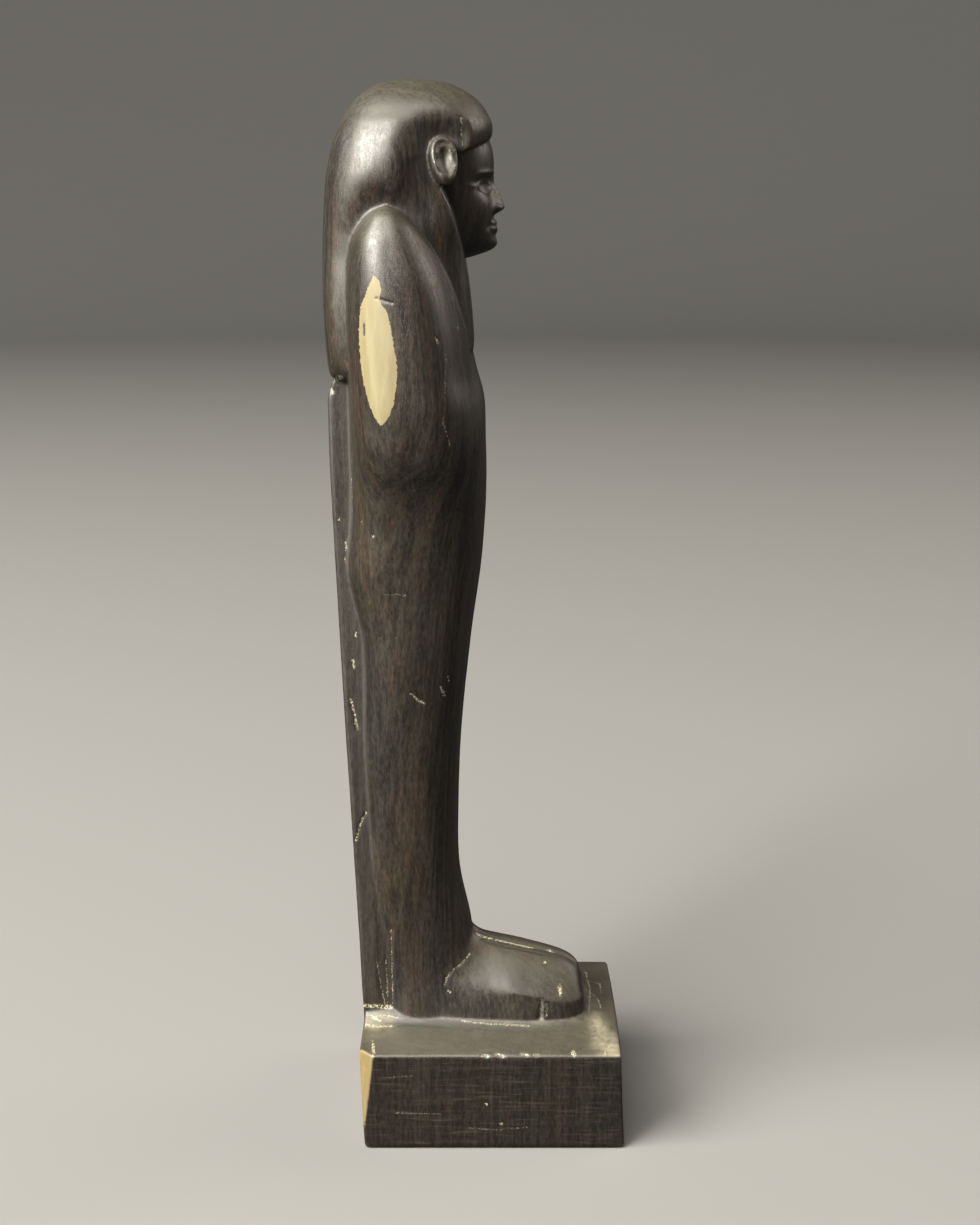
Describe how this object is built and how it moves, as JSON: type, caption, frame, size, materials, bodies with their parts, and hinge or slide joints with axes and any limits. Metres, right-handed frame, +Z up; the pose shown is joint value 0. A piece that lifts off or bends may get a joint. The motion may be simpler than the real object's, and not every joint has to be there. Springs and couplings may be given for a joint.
{
  "type": "ushabti figurine",
  "caption": "Carved ebony ushabti figurine in a plain wig and close shroud, standing against a back pillar on a block base.",
  "frame": {"origin": "on the flat underside, straight below the middle of the base's top", "axes": "+Z up, the figure faces -Y, its left side is at +X and its back pillar at +Y"},
  "size_m": [0.057, 0.071, 0.25],
  "materials": {
    "ebony": "satin"
  },
  "bodies": {
    "root": {"ushabti_figurine": "ebony"}
  },
  "joints": []
}
